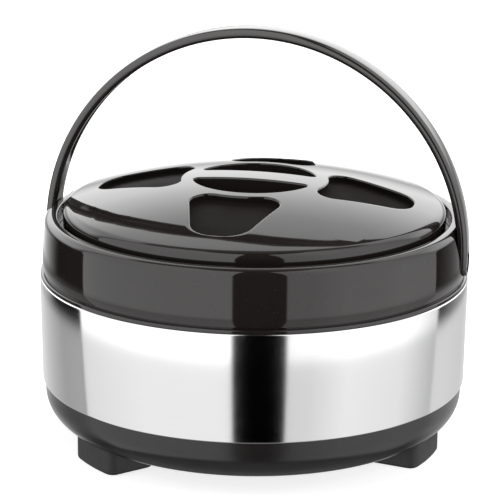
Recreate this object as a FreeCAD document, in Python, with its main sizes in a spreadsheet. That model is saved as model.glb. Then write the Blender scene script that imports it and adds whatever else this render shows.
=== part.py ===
import FreeCAD, Part
import os
import re
from math import acos, atan2, cos, degrees, pi, sin

import Sketcher
from FreeCAD import Placement, Rotation, Vector

# Insulated chapati casserole with a lift-off domed lid and a carrying bail.
# Millimetres, +Z up, origin on the ground under the centre of the pot.
# The bail turns about an axis parallel to X and the front is -Y.

doc = FreeCAD.newDocument("casserole")

# Driving dimensions, by piece
SIZES = {
    # Stack of the pot, from the ground up
    "foot_height": 12.0,
    "base_height": 24.0,
    "band_height": 60.0,
    "collar_height": 33.5,
    # Running and assembly clearances
    "assembly_gap": 0.2,
    "running_gap": 0.4,
    "pin_gap": 0.06,
    # Steel band round the pot
    "band_top_radius": 120.0,
    "band_taper": 0.7,
    "band_sheet": 0.6,
    "band_hem": 3.2,
    "band_edge_rounding": 1.2,
    # Moulded base
    "base_inset": 1.5,
    "base_rounding": 18.0,
    "base_wall": 2.6,
    "base_spigot_height": 10.0,
    "filler_hole_radius": 8.0,
    "filler_flange": 3.0,
    "screw_boss_radius": 5.0,
    "screw_boss_height": 9.0,
    # Feet and their screws
    "foot_count": 3,
    "foot_turn": -42.0,
    "foot_inset": 9.3,
    "foot_length": 31.5,
    "foot_width": 38.0,
    "foot_corner": 6.0,
    "foot_edge": 2.5,
    "screw_radius": 1.9,
    "screw_head_radius": 4.0,
    "screw_head_height": 2.4,
    "screw_length": 13.0,
    "screw_sink": 5.5,
    # Moulded collar
    "collar_foot_inset": 0.4,
    "collar_foot_height": 2.0,
    "collar_foot_rounding": 0.9,
    "collar_groove_width": 0.8,
    "collar_groove_depth": 0.5,
    "collar_inset": 1.5,
    "collar_draft": 1.5,
    "collar_shoulder": 4.4,
    "collar_rim_width": 7.2,
    "collar_bore_rounding": 0.9,
    "collar_wall": 4.7,
    "collar_spigot_wall": 2.6,
    "seat_depth": 9.5,
    "seat_wall": 2.5,
    # Pockets in the collar for the ends of the bail
    "pocket_slope": 30.0,
    "pivot_height": 13.0,
    "pivot_radius": 3.0,
    "pivot_boss_radius": 6.0,
    "pivot_boss_length": 8.0,
    "drain_radius": 1.0,
    # Steel bowl
    "bowl_setback": 20.5,
    "bowl_depth": 86.0,
    "bowl_corner": 22.0,
    "bowl_sheet": 0.7,
    "bowl_flange": 3.9,
    # Lid
    "lid_gap": 3.0,
    "lid_proud": 5.1,
    "dome_crown": 16.4,
    "lid_edge_rounding": 5.5,
    "lid_wall": 2.5,
    "hub_radius": 34.5,
    "hub_depth": 11.0,
    "grip_width": 18.0,
    "well_corner": 3.0,
    "petal_count": 4,
    "petal_rib": 6.0,
    "petal_margin": 16.8,
    "petal_inner_width": 64.0,
    "petal_outer_width": 30.0,
    "petal_inner_corner": 10.0,
    "petal_outer_corner": 16.0,
    "petal_depth": 4.0,
    "recess_lip": 0.9,
    # Inner ring and steel liner of the lid
    "plug_gap": 0.6,
    "plug_depth": 7.3,
    "ring_wall": 2.2,
    "ring_flange": 3.1,
    "ring_lip": 4.2,
    "ring_lip_height": 1.4,
    "liner_sheet": 0.7,
    "liner_rise": 3.0,
    "liner_rim": 12.0,
    # Bail
    "arch_proud": 0.8,
    "arch_lift": 4.3,
    "strap_thickness": 5.6,
    "strap_width": 15.0,
    "strap_rounding": 1.6,
    "channel_width": 8.0,
    "channel_depth": 1.5,
    "channel_start": 20.0,
    # Pivot studs
    "stud_head_radius": 4.9,
    "stud_head_height": 1.6,
    "stud_sink": 2.0,
    "stud_crown": 0.5,
}

# Levels and radii that follow from the driving dimensions
DERIVED = {
    "base_bottom": "foot_height",
    "band_bottom": "foot_height + base_height",
    "band_top": "band_bottom + band_height",
    "rim_top": "band_top + collar_height",
    "seat_top": "rim_top - seat_depth",
    "bowl_top": "seat_top + bowl_sheet",
    "bowl_floor": "bowl_top - bowl_depth",
    "band_bottom_radius": "band_top_radius - band_taper",
    "base_radius": "band_bottom_radius - base_inset",
    "foot_outer_radius": "base_radius - foot_inset",
    "foot_inner_radius": "foot_outer_radius - foot_length",
    "collar_foot_radius": "band_top_radius - collar_foot_inset",
    "collar_low_radius": "band_top_radius - collar_inset",
    "collar_high_radius": "collar_low_radius - collar_draft",
    "collar_bore_radius": "collar_high_radius - collar_rim_width",
    "bowl_radius": "band_top_radius - bowl_setback",
    "lid_radius": "collar_bore_radius - lid_gap",
    "petal_inner_radius": "hub_radius + petal_rib",
    "petal_outer_radius": "lid_radius - petal_margin",
    "arch_radius": "collar_high_radius + arch_proud",
    "base_spigot_radius": "band_bottom_radius - band_hem - assembly_gap",
    "base_spigot_inner": "base_spigot_radius - base_wall",
    "collar_spigot_radius": "band_top_radius - band_hem + assembly_gap",
    "collar_spigot_inner": "collar_spigot_radius - collar_spigot_wall",
    "collar_inner_radius": "collar_high_radius - collar_wall",
    "collar_seat_radius": "bowl_radius + bowl_sheet + running_gap",
    "groove_bottom": "band_top + collar_foot_height",
    "groove_top": "groove_bottom + collar_groove_width",
    "groove_radius": "collar_low_radius - collar_groove_depth",
    "pivot_level": "band_top + pivot_height",
    "arch_centre": "pivot_level + arch_lift",
    "strap_inner": "arch_radius - strap_thickness / 2",
    "strap_outer": "arch_radius + strap_thickness / 2",
    "eye_radius": "strap_width / 2",
    "pocket_floor": "strap_inner - running_gap",
    "skirt_bottom": "seat_top + assembly_gap",
    "skirt_inner": "lid_radius - lid_wall",
    "dome_edge": "rim_top + lid_proud",
    "dome_top": "dome_edge + dome_crown",
    "dome_curve": "(lid_radius * lid_radius + dome_crown * dome_crown) / (2 * dome_crown)",
    "dome_centre": "dome_top - dome_curve",
    "edge_rise": "sqrt((dome_curve - lid_edge_rounding)^2 - (lid_radius - lid_edge_rounding)^2)",
    "hub_floor": "dome_top - hub_depth",
    "plug_radius": "bowl_radius - plug_gap",
    "plug_bottom": "bowl_top - plug_depth",
    "ring_seat": "bowl_top + 3 * assembly_gap",
    "ring_top": "ring_seat + ring_flange",
    "ring_inner": "plug_radius - ring_wall",
    "liner_bottom": "plug_bottom + ring_lip_height",
    "liner_radius": "ring_inner - assembly_gap",
    "foot_middle": "(foot_inner_radius + foot_outer_radius) / 2",
}

sheet = doc.addObject("Spreadsheet::Sheet", "Sizes")
for row, (alias, size) in enumerate(SIZES.items(), start=1):
    sheet.set("A%d" % row, alias)
    sheet.set("B%d" % row, str(size))
    sheet.setAlias("B%d" % row, alias)
doc.recompute()


# Formulas written with the names above

def spelled_out(formula):
    """The formula with every derived name replaced by driving dimensions."""
    def expand(match):
        word = match.group(0)
        return "(" + spelled_out(DERIVED[word]) + ")" if word in DERIVED else word
    return re.sub(r"[a-z_]+", expand, formula)


def size(formula):
    return float(sheet.evalExpression(spelled_out(formula)))


def bind(item, prop, formula):
    """Tie a property to the sheet."""
    def name(match):
        word = match.group(0)
        return "Sizes." + word if word in SIZES else word
    item.setExpression(prop, re.sub(r"[a-z_]+", name, spelled_out(formula)))


# Bodies, sketches and features

PIECES = []


def new_body(label, piece=True):
    body = doc.addObject("PartDesign::Body", label)
    body.Label = label
    if piece:
        PIECES.append(body)
    return body


def datum(body, role):
    return next(item for item in body.Origin.OriginFeatures if item.Role == role)


def new_sketch(body, name, plane, level=None):
    sketch = body.newObject("Sketcher::SketchObject", body.Name + "_" + name)
    sketch.AttachmentSupport = [(datum(body, plane), "")]
    sketch.MapMode = "FlatFace"
    if level is not None:
        bind(sketch, ".AttachmentOffset.Base.z", level)
    return sketch


def corner(across, up, rounding=None, arc=None, turn=1):
    """A corner of an outline.

    rounding rounds the corner between two straight sides. arc is the radius
    of a curved side that leaves the corner, turning left (1) or right (-1).
    """
    return {"x": across, "y": up, "rounding": rounding, "arc": arc, "turn": turn}


def hold_point(sketch, shape, end, across, up):
    """Dimension a point from the sketch's origin."""
    for kind, formula in (("DistanceX", across), ("DistanceY", up)):
        dimension = Sketcher.Constraint(kind, -1, 1, shape, end, size(formula))
        index = sketch.addConstraint(dimension)
        bind(sketch, "Constraints[%d]" % index, formula)


def hold_radius(sketch, shape, formula):
    index = sketch.addConstraint(Sketcher.Constraint("Radius", shape, size(formula)))
    bind(sketch, "Constraints[%d]" % index, formula)


def arc_between(start, end, radius, turn):
    """The shorter arc from start to end, and which of its ends is which."""
    middle = (start + end) / 2
    half = (end - start) / 2
    rise = max(radius ** 2 - half.Length ** 2, 0.0) ** 0.5
    side = Vector(-half.y, half.x, 0).normalize()
    centre = middle + side * rise * turn
    first, last = (start, end) if turn > 0 else (end, start)
    angles = [atan2(point.y - centre.y, point.x - centre.x) for point in (first, last)]
    if angles[1] < angles[0]:
        angles[1] += 2 * pi
    circle = Part.Circle(centre, Vector(0, 0, 1), radius)
    return Part.ArcOfCircle(circle, *angles), (1, 2) if turn > 0 else (2, 1)


def draw(sketch, corners):
    """Draw one closed, fully dimensioned outline."""
    count = len(corners)
    points = [Vector(size(c["x"]), size(c["y"]), 0) for c in corners]
    leave, arrive = list(points), list(points)
    for i, spot in enumerate(corners):
        if not spot["rounding"]:
            continue
        back = (points[i - 1] - points[i]).normalize()
        ahead = (points[(i + 1) % count] - points[i]).normalize()
        half_angle = acos(max(-1.0, min(1.0, back.dot(ahead)))) / 2
        reach = size(spot["rounding"]) * cos(half_angle) / sin(half_angle)
        arrive[i] = points[i] + back * reach
        leave[i] = points[i] + ahead * reach
    sides = []
    for i, spot in enumerate(corners):
        start, end = leave[i], arrive[(i + 1) % count]
        if spot["arc"]:
            curve, ends = arc_between(start, end, size(spot["arc"]), spot["turn"])
        else:
            curve, ends = Part.LineSegment(start, end), (1, 2)
        sides.append((sketch.addGeometry(curve), ends))
    for i, spot in enumerate(corners):
        before, (_, before_end) = sides[i - 1]
        after, (after_start, _) = sides[i]
        if spot["rounding"]:
            round_corner(sketch, spot, points[i], (before, before_end, arrive[i]),
                         (after, after_start, leave[i]))
        else:
            sketch.addConstraint(
                Sketcher.Constraint("Coincident", before, before_end, after, after_start))
            hold_point(sketch, after, after_start, spot["x"], spot["y"])
        if spot["arc"]:
            hold_radius(sketch, after, spot["arc"])


def round_corner(sketch, spot, point, before, after):
    """Join two straight sides by an arc tangent to both."""
    bend = (point - before[2]).cross(after[2] - point).z
    turn = 1 if bend > 0 else -1
    curve, (first, last) = arc_between(before[2], after[2], size(spot["rounding"]), turn)
    arc = sketch.addGeometry(curve)
    tip = sketch.addGeometry(Part.Point(point), True)
    sketch.addConstraint([
        Sketcher.Constraint("Tangent", before[0], before[1], arc, first),
        Sketcher.Constraint("Tangent", arc, last, after[0], after[1]),
        Sketcher.Constraint("PointOnObject", tip, 1, before[0]),
        Sketcher.Constraint("PointOnObject", tip, 1, after[0]),
    ])
    hold_point(sketch, tip, 1, spot["x"], spot["y"])
    hold_radius(sketch, arc, spot["rounding"])


def draw_circle(sketch, across, up, radius):
    centre = Vector(size(across), size(up), 0)
    shape = sketch.addGeometry(Part.Circle(centre, Vector(0, 0, 1), size(radius)))
    hold_point(sketch, shape, 3, across, up)
    hold_radius(sketch, shape, radius)


def turned(body, name, corners, kind="Revolution", bearing=0):
    """Revolve a half section, drawn as radius and height, about the pot's axis."""
    sketch = new_sketch(body, name + "_section", "XZ_Plane")
    sketch.AttachmentOffset = Placement(Vector(), Rotation(Vector(0, 1, 0), bearing))
    draw(sketch, corners)
    feature = body.newObject("PartDesign::" + kind, body.Name + "_" + name)
    feature.Profile = sketch
    feature.ReferenceAxis = (datum(body, "Z_Axis"), [""])
    feature.Angle = 360
    return feature


def extruded(body, name, sketch, length, kind="Pad", both_ways=False, reverse=False):
    feature = body.newObject("PartDesign::" + kind, body.Name + "_" + name)
    feature.Profile = sketch
    bind(feature, "Length", length)
    if both_ways:
        feature.SideType = "Symmetric"
    feature.Reversed = reverse
    return feature


def round_the_pot(body, features, count):
    """Repeat features evenly about the pot's axis."""
    pattern = body.newObject("PartDesign::PolarPattern", body.Name + "_round")
    pattern.Originals = features
    pattern.Axis = (datum(body, "Z_Axis"), [""])
    pattern.Angle = 360
    bind(pattern, "Occurrences", count)
    body.Tip = pattern
    return pattern


def at_both_sides(body, name, start, length, radius, kind="Pocket", level="pivot_level"):
    """Round pads or pockets that run outwards along +X and -X from a start."""
    for side, sign in (("right", ""), ("left", "-")):
        circle = new_sketch(body, "%s_%s" % (name, side), "YZ_Plane", "%s(%s)" % (sign, start))
        draw_circle(circle, "0", level, radius)
        outwards = (kind == "Pocket") == (side == "right")
        extruded(body, "%s_%s_run" % (name, side), circle, length, kind=kind, reverse=outwards)


def combine(body, name, tools, kind="Cut"):
    feature = body.newObject("PartDesign::Boolean", body.Name + "_" + name)
    feature.Type = kind
    feature.setObjects(tools)
    return feature


def rounded(body, name, base, wanted, radius):
    """Fillet the edges that the test picks out."""
    doc.recompute()
    names = ["Edge%d" % number for number, edge in enumerate(base.Shape.Edges, start=1)
             if wanted(edge)]
    fillet = body.newObject("PartDesign::Fillet", body.Name + "_" + name)
    fillet.Base = (base, names)
    bind(fillet, "Radius", radius)
    return fillet


def middle_of(edge):
    first, last = edge.ParameterRange
    return edge.valueAt((first + last) / 2)


def turned_about_pot(body, angle):
    body.Placement = Placement(Vector(), Rotation(Vector(0, 0, 1), angle))


# Steel band: one turned sheet, hemmed inwards at both ends

band = new_body("outer_band")
turned(band, "sheet", [
    corner("band_bottom_radius - band_hem", "band_bottom"),
    corner("band_bottom_radius", "band_bottom", rounding="band_edge_rounding"),
    corner("band_top_radius", "band_top", rounding="band_edge_rounding"),
    corner("band_top_radius - band_hem + 2 * assembly_gap", "band_top"),
    corner("band_top_radius - band_hem + 2 * assembly_gap", "band_top - band_sheet"),
    corner("band_top_radius - band_sheet", "band_top - band_sheet",
           rounding="band_edge_rounding - band_sheet"),
    corner("band_bottom_radius - band_sheet", "band_bottom + band_sheet",
           rounding="band_edge_rounding - band_sheet"),
    corner("band_bottom_radius - band_hem", "band_bottom + band_sheet"),
])

# Base: a shallow moulded cup whose spigot stands inside the band

base = new_body("base_cup")
base_turned = turned(base, "cup", [
    corner("filler_hole_radius", "base_bottom"),
    corner("base_radius", "base_bottom", rounding="base_rounding"),
    corner("base_radius", "band_bottom"),
    corner("base_spigot_radius", "band_bottom"),
    corner("base_spigot_radius", "band_bottom + base_spigot_height"),
    corner("base_spigot_inner", "band_bottom + base_spigot_height"),
    corner("base_spigot_inner", "band_bottom - base_wall"),
    corner("base_radius - base_wall", "band_bottom - 2 * base_wall"),
    corner("base_radius - base_wall", "base_bottom + base_wall",
           rounding="base_rounding - base_wall"),
    corner("filler_hole_radius", "base_bottom + base_wall"),
])
boss_sketch = new_sketch(base, "boss_circle", "XY_Plane", "base_bottom + base_wall / 2")
draw_circle(boss_sketch, "foot_middle * sin(foot_turn)", "-foot_middle * cos(foot_turn)",
            "screw_boss_radius")
base_boss = extruded(base, "boss", boss_sketch, "screw_boss_height")
hole_sketch = new_sketch(base, "hole_circle", "XY_Plane", "base_bottom")
draw_circle(hole_sketch, "foot_middle * sin(foot_turn)", "-foot_middle * cos(foot_turn)",
            "screw_radius + pin_gap")
base_hole = extruded(base, "hole", hole_sketch, "base_wall + screw_boss_height",
                     kind="Pocket", reverse=True)
round_the_pot(base, [base_boss, base_hole], "foot_count")

# Plug that closes the hole through which the foam was poured

plug = new_body("filler_plug")
turned(plug, "plug", [
    corner("0", "base_bottom - base_wall / 2"),
    corner("filler_hole_radius + filler_flange", "base_bottom - base_wall / 2",
           rounding="base_wall / 4"),
    corner("filler_hole_radius + filler_flange", "base_bottom"),
    corner("filler_hole_radius - pin_gap", "base_bottom"),
    corner("filler_hole_radius - pin_gap", "base_bottom + 2 * base_wall"),
    corner("0", "base_bottom + 2 * base_wall"),
])

# Feet: three blocks whose tops follow the underside of the base

FOOT_NAMES = ["foot_front_left", "foot_right", "foot_back"]


def foot(label, number):
    body = new_body(label)
    outline = new_sketch(body, "outline", "XY_Plane")
    half_width = "foot_width / 2"
    draw(outline, [
        corner("-" + half_width, "-sqrt(foot_outer_radius^2 - (foot_width / 2)^2)",
               arc="foot_outer_radius"),
        corner(half_width, "-sqrt(foot_outer_radius^2 - (foot_width / 2)^2)"),
        corner(half_width, "-foot_inner_radius"),
        corner("-" + half_width, "-foot_inner_radius"),
    ])
    block = extruded(body, "block", outline, "foot_height + base_rounding")

    def upright(edge):
        return edge.BoundBox.XLength + edge.BoundBox.YLength < size("foot_edge") / 100

    def sole_edge(edge):
        return edge.BoundBox.ZMax < size("foot_height") / 100

    block_rounded = rounded(body, "corners", block, upright, "foot_corner")
    rounded(body, "sole", block_rounded, sole_edge, "foot_edge")
    turned(body, "seat", [
        corner("0", "base_bottom"),
        corner("base_radius", "base_bottom", rounding="base_rounding"),
        corner("base_radius", "base_bottom + 2 * base_rounding"),
        corner("0", "base_bottom + 2 * base_rounding"),
    ], kind="Groove")
    sink = new_sketch(body, "sink_circle", "XY_Plane")
    draw_circle(sink, "0", "-foot_middle", "screw_head_radius + running_gap")
    extruded(body, "sink", sink, "screw_sink", kind="Pocket", reverse=True)
    hole = new_sketch(body, "hole_circle", "XY_Plane")
    draw_circle(hole, "0", "-foot_middle", "screw_radius + pin_gap")
    extruded(body, "hole", hole, "foot_height + base_rounding", kind="Pocket", reverse=True)
    spread = "foot_turn + %d * 360 / foot_count" % number
    body.Placement = Placement(Vector(), Rotation(Vector(0, 0, 1), size(spread)))
    bind(body, "Placement.Rotation.Angle", spread)


for number, label in enumerate(FOOT_NAMES):
    foot(label, number)

# Foot screws: pan heads sunk in the feet, shanks up in the bosses of the base

screws = doc.addObject("Part::Compound", "foot_screws")
screws.Label = "foot_screws"
screw_list = []
for number in range(len(FOOT_NAMES)):
    head = doc.addObject("Part::Cylinder", "screw_head_%d" % number)
    bind(head, "Radius", "screw_head_radius")
    bind(head, "Height", "screw_head_height")
    shank = doc.addObject("Part::Cylinder", "screw_shank_%d" % number)
    bind(shank, "Radius", "screw_radius")
    bind(shank, "Height", "screw_length")
    bearing = "foot_turn + %d * 360 / foot_count" % number
    for cylinder in (head, shank):
        bind(cylinder, ".Placement.Base.x", "foot_middle * sin(%s)" % bearing)
        bind(cylinder, ".Placement.Base.y", "-foot_middle * cos(%s)" % bearing)
    bind(head, ".Placement.Base.z", "screw_sink - screw_head_height")
    bind(shank, ".Placement.Base.z", "screw_sink - screw_head_height / 2")
    screw = doc.addObject("Part::Fuse", "screw_%d" % number)
    screw.Base = head
    screw.Tool = shank
    screw_list.append(screw)
screws.Links = screw_list
PIECES.append(screws)

# Collar: a moulded ring with a foot bead, a groove, a tapering wall, a rounded
# shoulder, a sunk seat for the lid and the bowl, and bosses for the pivot studs

collar = new_body("collar")
turned(collar, "ring", [
    corner("collar_spigot_inner", "band_top - base_spigot_height"),
    corner("collar_spigot_radius", "band_top - base_spigot_height"),
    corner("collar_spigot_radius", "band_top"),
    corner("collar_foot_radius", "band_top"),
    corner("collar_foot_radius", "groove_bottom", rounding="collar_foot_rounding"),
    corner("groove_radius", "groove_bottom"),
    corner("groove_radius", "groove_top"),
    corner("collar_low_radius", "groove_top"),
    corner("collar_high_radius", "rim_top", rounding="collar_shoulder"),
    corner("collar_bore_radius", "rim_top", rounding="collar_bore_rounding"),
    corner("collar_bore_radius", "seat_top"),
    corner("collar_seat_radius", "seat_top"),
    corner("collar_seat_radius", "seat_top - seat_wall"),
    corner("collar_inner_radius", "seat_top - seat_wall"),
    corner("collar_inner_radius", "groove_top"),
    corner("collar_spigot_inner", "band_top"),
])
at_both_sides(collar, "boss", "collar_inner_radius - pivot_boss_length",
              "pivot_boss_length + collar_wall / 2", "pivot_boss_radius", kind="Pad")
at_both_sides(collar, "stud_hole", "collar_inner_radius - pivot_boss_length + running_gap",
              "pivot_boss_length + 3 * collar_wall", "pivot_radius + pin_gap")
at_both_sides(collar, "drain", "collar_high_radius - collar_wall / 2", "2 * collar_wall",
              "drain_radius", level="groove_top + 2 * drain_radius")


def bail_pocket(number):
    """The pocket round one eye of the bail, open at the rim.

    Its outline is the round eye between two sloping sides, where the swung
    strap stops. Its inner face follows the arch at every angle.
    """
    tool = new_body("bail_pocket_%d" % number, piece=False)
    fan = new_sketch(tool, "fan", "YZ_Plane", "pocket_floor - collar_wall")
    drop = "(eye_radius + running_gap) / sin(pocket_slope)"
    top = "rim_top + collar_wall - pivot_level"
    half_width = "(%s + %s) * tan(pocket_slope)" % (top, drop)
    draw(fan, [
        corner("0", "-" + drop, rounding="eye_radius + running_gap"),
        corner(half_width, top),
        corner("-" + half_width, top),
    ])
    extruded(tool, "block", fan, "4 * collar_wall")
    face = new_sketch(tool, "face", "XZ_Plane")
    reach = "arch_lift + collar_height"
    draw(face, [
        corner("pocket_floor - 2 * collar_wall", "0"),
        corner("pocket_floor", "0"),
        corner("pocket_floor", "arch_lift", arc="pocket_floor"),
        corner("sqrt(pocket_floor^2 - collar_height^2)", reach),
        corner("pocket_floor - 2 * collar_wall", reach),
    ])
    dish = tool.newObject("PartDesign::Groove", tool.Name + "_dish")
    dish.Profile = face
    dish.ReferenceAxis = (datum(tool, "X_Axis"), [""])
    dish.Angle = 360
    tool.Placement = Placement(Vector(0, 0, size("pivot_level")),
                               Rotation(Vector(0, 0, 1), 180 * number))
    bind(tool, "Placement.Base.z", "pivot_level")
    return tool


combine(collar, "pockets", [bail_pocket(number) for number in range(2)])

# Inner bowl: deep-drawn steel, hung by its flange on the collar's seat

bowl = new_body("inner_bowl")
turned(bowl, "shell", [
    corner("0", "bowl_floor - bowl_sheet"),
    corner("bowl_radius + bowl_sheet", "bowl_floor - bowl_sheet",
           rounding="bowl_corner + bowl_sheet"),
    corner("bowl_radius + bowl_sheet", "seat_top"),
    corner("bowl_radius + bowl_flange", "seat_top"),
    corner("bowl_radius + bowl_flange", "bowl_top"),
    corner("bowl_radius", "bowl_top", rounding="bowl_sheet"),
    corner("bowl_radius", "bowl_floor", rounding="bowl_corner"),
    corner("0", "bowl_floor"),
])

# Foam between the bowl and the casing

foam = new_body("body_insulation")
foam_turned = turned(foam, "fill", [
    corner("0", "base_bottom + 2 * base_wall + assembly_gap"),
    corner("filler_hole_radius + assembly_gap", "base_bottom + 2 * base_wall + assembly_gap"),
    corner("filler_hole_radius + assembly_gap", "base_bottom + base_wall + assembly_gap"),
    corner("base_radius - base_wall - assembly_gap", "base_bottom + base_wall + assembly_gap",
           rounding="base_rounding - base_wall - assembly_gap"),
    corner("base_radius - base_wall - assembly_gap", "band_bottom - 2 * base_wall"),
    corner("base_spigot_inner - assembly_gap", "band_bottom - base_wall"),
    corner("base_spigot_inner - assembly_gap",
           "band_bottom + base_spigot_height + assembly_gap"),
    corner("band_bottom_radius - band_sheet - assembly_gap",
           "band_bottom + base_spigot_height + assembly_gap"),
    corner("band_top_radius - band_sheet - 2 * assembly_gap",
           "band_top - base_spigot_height - assembly_gap"),
    corner("collar_spigot_inner - assembly_gap",
           "band_top - base_spigot_height - assembly_gap"),
    corner("collar_spigot_inner - assembly_gap", "band_top"),
    corner("collar_inner_radius - assembly_gap", "groove_top"),
    corner("collar_inner_radius - assembly_gap", "seat_top - seat_wall - assembly_gap"),
    corner("bowl_radius + bowl_sheet + assembly_gap", "seat_top - seat_wall - assembly_gap"),
    corner("bowl_radius + bowl_sheet + assembly_gap",
           "bowl_floor - bowl_sheet - assembly_gap",
           rounding="bowl_corner + bowl_sheet + assembly_gap"),
    corner("0", "bowl_floor - bowl_sheet - assembly_gap"),
])
screw_room = new_sketch(foam, "screw_room", "XY_Plane", "base_bottom")
draw_circle(screw_room, "foot_middle * sin(foot_turn)", "-foot_middle * cos(foot_turn)",
            "screw_boss_radius + assembly_gap")
foam_screw = extruded(foam, "screw_cut", screw_room,
                      "base_wall + screw_boss_height + assembly_gap", kind="Pocket", reverse=True)
round_the_pot(foam, [foam_screw], "foot_count")
at_both_sides(foam, "boss_room", "collar_inner_radius - pivot_boss_length - assembly_gap",
              "2 * pivot_boss_length", "pivot_boss_radius + assembly_gap")

# Petal-shaped prisms for the lid's recesses, and the larger ones of their walls


def petal(label, number, grow, depth):
    """A rounded petal that starts a given depth below the dome's surface."""
    body = new_body("%s_%d" % (label, number), piece=False)
    outline = new_sketch(body, "outline", "XY_Plane", "skirt_bottom")
    half_inner = "petal_inner_width / 2 + %s" % grow
    half_outer = "petal_outer_width / 2 + %s" % grow
    inner = "petal_inner_radius - %s" % grow
    outer = "petal_outer_radius + %s" % grow
    draw(outline, [
        corner("-(%s)" % half_outer, "-sqrt((%s)^2 - (%s)^2)" % (outer, half_outer),
               arc=outer),
        corner(half_outer, "-sqrt((%s)^2 - (%s)^2)" % (outer, half_outer)),
        corner(half_inner, "-sqrt((%s)^2 - (%s)^2)" % (inner, half_inner), arc=inner, turn=-1),
        corner("-(%s)" % half_inner, "-sqrt((%s)^2 - (%s)^2)" % (inner, half_inner)),
    ])
    prism = extruded(body, "prism", outline, "2 * (dome_top - skirt_bottom)")
    divide = size("(petal_inner_radius + petal_outer_radius) / 2")

    def upright(edge):
        return edge.BoundBox.XLength + edge.BoundBox.YLength < size("recess_lip") / 100

    def inner_corner(edge):
        return upright(edge) and -middle_of(edge).y < divide

    def outer_corner(edge):
        return upright(edge) and -middle_of(edge).y > divide

    inner_round = rounded(body, "inner_corners", prism, inner_corner,
                          "petal_inner_corner + %s" % grow)
    rounded(body, "outer_corners", inner_round, outer_corner, "petal_outer_corner + %s" % grow)
    turned(body, "floor", [
        corner("0", "skirt_bottom - lid_wall"),
        corner("lid_radius", "skirt_bottom - lid_wall"),
        corner("lid_radius", "dome_edge - %s" % depth, arc="dome_curve"),
        corner("0", "dome_top - %s" % depth),
    ], kind="Groove")
    bearing = "%d * 360 / petal_count" % number
    body.Placement = Placement(Vector(), Rotation(Vector(0, 0, 1), size(bearing)))
    bind(body, "Placement.Rotation.Angle", bearing)
    return body


def petals(label, grow, depth):
    return [petal(label, number, grow, depth) for number in range(int(size("petal_count")))]


# Foam of the lid, which fills the cover down to the liner

lid_foam = new_body("lid_insulation")
turned(lid_foam, "fill", [
    corner("0", "liner_bottom + liner_sheet + liner_rise"),
    corner("liner_radius - liner_rim", "liner_bottom + liner_sheet + liner_rise"),
    corner("liner_radius - liner_rim + liner_rise", "liner_bottom + liner_sheet"),
    corner("ring_inner - assembly_gap", "liner_bottom + liner_sheet"),
    corner("ring_inner - assembly_gap", "ring_top"),
    corner("skirt_inner", "ring_top"),
    corner("skirt_inner", "dome_centre + sqrt((dome_curve - lid_wall)^2 - skirt_inner^2)",
           arc="dome_curve - lid_wall"),
    corner("hub_radius + lid_wall",
           "dome_centre + sqrt((dome_curve - lid_wall)^2 - (hub_radius + lid_wall)^2)"),
    corner("hub_radius + lid_wall", "hub_floor - lid_wall"),
    corner("0", "hub_floor - lid_wall"),
])
combine(lid_foam, "petal_tubs", petals("petal_tub", "lid_wall", "(petal_depth + lid_wall)"))

# Lid cover: a glossy dome with four petal recesses and a round finger well
# that a straight grip crosses

cover = new_body("lid_cover")
edge_share = "dome_curve / (dome_curve - lid_edge_rounding)"
turned(cover, "dome", [
    corner("0", "skirt_bottom"),
    corner("lid_radius", "skirt_bottom"),
    corner("lid_radius", "dome_centre + edge_rise", arc="lid_edge_rounding"),
    corner("(lid_radius - lid_edge_rounding) * %s" % edge_share,
           "dome_centre + edge_rise * %s" % edge_share, arc="dome_curve"),
    corner("0", "dome_top"),
], bearing=180 / size("petal_count"))
well = new_sketch(cover, "well", "XY_Plane", "hub_floor")
half_grip = "grip_width / 2"
half_chord = "sqrt(hub_radius^2 - (grip_width / 2)^2)"
draw(well, [
    corner(half_chord, half_grip, arc="hub_radius"),
    corner("-" + half_chord, half_grip),
])
draw(well, [
    corner("-" + half_chord, "-" + half_grip, arc="hub_radius"),
    corner(half_chord, "-" + half_grip),
])
well_cut = extruded(cover, "finger_well", well, "2 * hub_depth", kind="Pocket", reverse=True)


def well_corner(edge):
    box = edge.BoundBox
    return box.XLength + box.YLength < size("recess_lip") / 100 and box.ZMin > size("skirt_bottom")


rounded(cover, "well_corners", well_cut, well_corner, "well_corner")
recessed = combine(cover, "petal_recesses", petals("petal_recess", "0", "petal_depth"))


def recess_lip(edge):
    """Edges where a recess or the finger well opens in the dome."""
    point = middle_of(edge)
    span = Vector(point.x, point.y, point.z - size("dome_centre"))
    ends = [vertex.Point for vertex in edge.Vertexes]
    level = all(abs(Vector(p.x, p.y, p.z - size("dome_centre")).Length - size("dome_curve")) < 0.05
                for p in ends)
    inside = (point.x ** 2 + point.y ** 2) ** 0.5 < size("lid_radius - lid_edge_rounding - lid_wall")
    return level and inside and abs(span.Length - size("dome_curve")) < 0.05


rounded(cover, "lips", recessed, recess_lip, "recess_lip")
combine(cover, "hollow", [lid_foam])
turned(cover, "skirt", [
    corner("0", "skirt_bottom - assembly_gap"),
    corner("skirt_inner", "skirt_bottom - assembly_gap"),
    corner("skirt_inner", "ring_top"),
    corner("0", "ring_top"),
], kind="Groove")

# Inner ring of the lid: it drops into the bowl's mouth and holds the liner

ring = new_body("lid_ring")
turned(ring, "ring", [
    corner("ring_inner - ring_lip", "plug_bottom"),
    corner("plug_radius", "plug_bottom", rounding="ring_lip_height / 2"),
    corner("plug_radius", "ring_seat"),
    corner("skirt_inner - assembly_gap", "ring_seat"),
    corner("skirt_inner - assembly_gap", "ring_top"),
    corner("ring_inner", "ring_top"),
    corner("ring_inner", "liner_bottom"),
    corner("ring_inner - ring_lip", "liner_bottom"),
])

# Steel liner of the lid: a disc dished upwards inside its flat rim

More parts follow.
